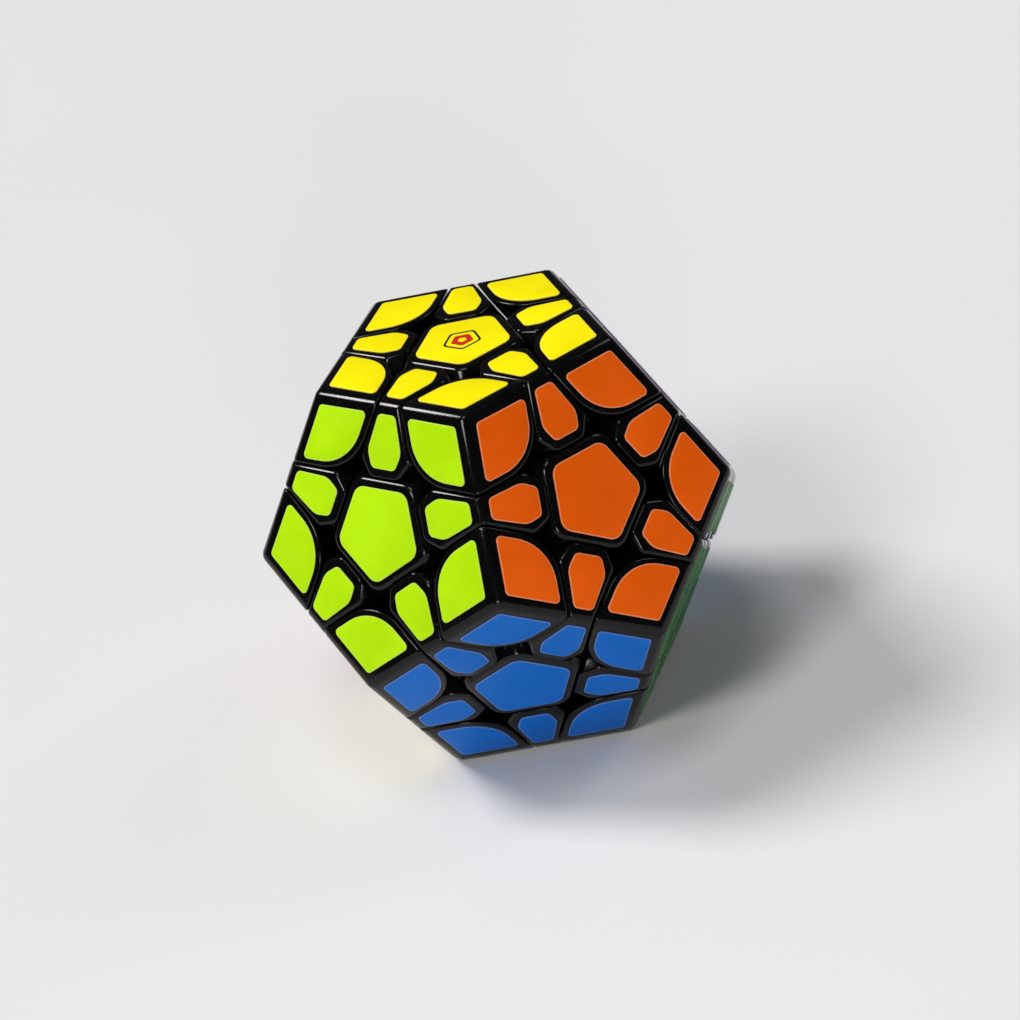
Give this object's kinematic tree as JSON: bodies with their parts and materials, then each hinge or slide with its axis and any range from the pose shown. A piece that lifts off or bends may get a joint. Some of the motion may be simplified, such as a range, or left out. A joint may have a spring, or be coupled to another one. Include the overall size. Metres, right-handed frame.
{
  "type": "dodecahedron twisty puzzle",
  "caption": "Black dodecahedron twisty puzzle with twelve coloured stickered faces; layers of pieces turn about screws in a central core.",
  "frame": {"origin": "middle of the core, where all twelve turning axes meet, which is also the centre of the bounding box", "axes": "+Z out through the middle of the top (yellow) face; the -Y side is the one with the lower blue face; +X to the right seen from -Y"},
  "size_m": [0.0812, 0.0848, 0.07],
  "materials": {
    "core_plastic": "plain moulded",
    "steel": "zinc-bright",
    "black_plastic": "semi-gloss moulded black with fine handling marks",
    "sticker_yellow": "vinyl sticker, satin gloss",
    "sticker_lime": "vinyl sticker, satin gloss",
    "sticker_orange": "vinyl sticker, satin gloss",
    "sticker_purple": "vinyl sticker, satin gloss",
    "sticker_white": "vinyl sticker, satin gloss",
    "sticker_maroon": "vinyl sticker, satin gloss",
    "sticker_blue": "vinyl sticker, satin gloss",
    "sticker_green": "vinyl sticker, satin gloss",
    "sticker_sky": "vinyl sticker, satin gloss",
    "sticker_pink": "vinyl sticker, satin gloss",
    "sticker_cream": "vinyl sticker, satin gloss",
    "sticker_grey": "vinyl sticker, satin gloss"
  },
  "bodies": {
    "core_and_rest": {"core": "core_plastic", "screws": "steel", "springs": "steel", "washers": "steel", "centre_lime": "black_plastic", "centre_orange": "black_plastic", "centre_purple": "black_plastic", "centre_white": "black_plastic", "centre_maroon": "black_plastic", "centre_green": "black_plastic", "centre_pink": "black_plastic", "centre_cream": "black_plastic", "centre_grey": "black_plastic", "caps_body": "black_plastic", "edges_body": "black_plastic", "corners_body": "black_plastic", "stickers_body_lime": "sticker_lime", "stickers_body_orange": "sticker_orange", "stickers_body_purple": "sticker_purple", "stickers_body_white": "sticker_white", "stickers_body_maroon": "sticker_maroon", "stickers_body_green": "sticker_green", "stickers_body_pink": "sticker_pink", "stickers_body_cream": "sticker_cream", "stickers_body_grey": "sticker_grey"},
    "top_layer": {"centre_yellow": "black_plastic", "caps_top": "black_plastic", "edges_top": "black_plastic", "corners_top": "black_plastic", "stickers_top_yellow": "sticker_yellow", "stickers_top_lime": "sticker_lime", "stickers_top_orange": "sticker_orange", "stickers_top_purple": "sticker_purple", "stickers_top_white": "sticker_white", "stickers_top_maroon": "sticker_maroon"},
    "front_layer": {"centre_blue": "black_plastic", "caps_front": "black_plastic", "edges_front": "black_plastic", "corners_front": "black_plastic", "stickers_front_lime": "sticker_lime", "stickers_front_orange": "sticker_orange", "stickers_front_blue": "sticker_blue", "stickers_front_green": "sticker_green", "stickers_front_cream": "sticker_cream", "stickers_front_grey": "sticker_grey"},
    "rear_layer": {"centre_sky": "black_plastic", "caps_rear": "black_plastic", "edges_rear": "black_plastic", "corners_rear": "black_plastic", "stickers_rear_purple": "sticker_purple", "stickers_rear_white": "sticker_white", "stickers_rear_green": "sticker_green", "stickers_rear_sky": "sticker_sky", "stickers_rear_pink": "sticker_pink", "stickers_rear_grey": "sticker_grey"}
  },
  "joints": [
    {"name": "top_layer_turn", "type": "hinge", "parent": "core_and_rest", "child": "top_layer", "pos_m": [0, 0, 0], "axis": [0, 0, 1], "continuous": true},
    {"name": "front_layer_turn", "type": "hinge", "parent": "core_and_rest", "child": "front_layer", "pos_m": [0, 0, 0], "axis": [0, -0.8944, -0.4472], "continuous": true},
    {"name": "rear_layer_turn", "type": "hinge", "parent": "core_and_rest", "child": "rear_layer", "pos_m": [0, 0, 0], "axis": [0.5257, 0.7236, -0.4472], "continuous": true}
  ]
}
